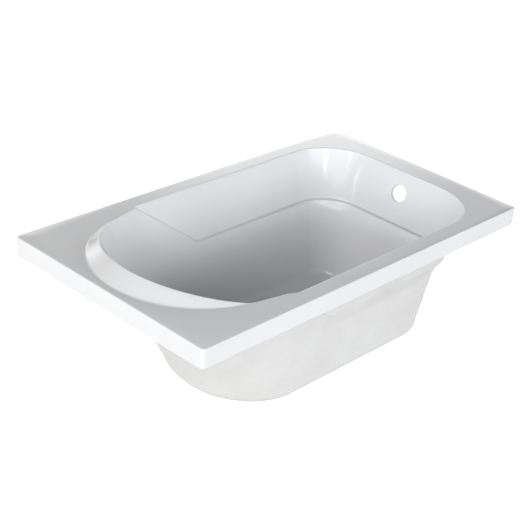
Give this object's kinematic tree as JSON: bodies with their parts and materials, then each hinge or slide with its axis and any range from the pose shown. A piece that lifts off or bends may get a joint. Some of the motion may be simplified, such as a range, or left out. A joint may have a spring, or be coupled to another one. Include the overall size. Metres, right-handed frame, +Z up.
{
  "type": "acrylic bathtub",
  "caption": "Compact acrylic bathtub shell: flat rim with deep lip, ledged basin, raised headrest roll, waste and overflow holes, laminated and board-stiffened.",
  "frame": {"origin": "on the ground under the middle of the rim: centre of the bounding box in plan, at the underside of the base", "axes": "+X from the head end to the foot end with the waste and overflow, +Y across the bath, +Z up"},
  "size_m": [1.25, 0.7, 0.4586],
  "materials": {
    "acrylic": "gloss",
    "laminate": "rough",
    "chipboard": "matte",
    "batten_wood": "matte"
  },
  "bodies": {
    "root": {"acrylic_shell": "acrylic", "wall_laminate": "laminate", "base_board": "chipboard", "base_cover": "laminate", "rim_batten_near": "batten_wood", "rim_batten_far": "batten_wood", "rim_batten_head": "batten_wood", "rim_batten_foot": "batten_wood", "batten_wrap_near": "laminate", "batten_wrap_far": "laminate", "batten_wrap_head": "laminate", "batten_wrap_foot": "laminate"}
  },
  "joints": []
}
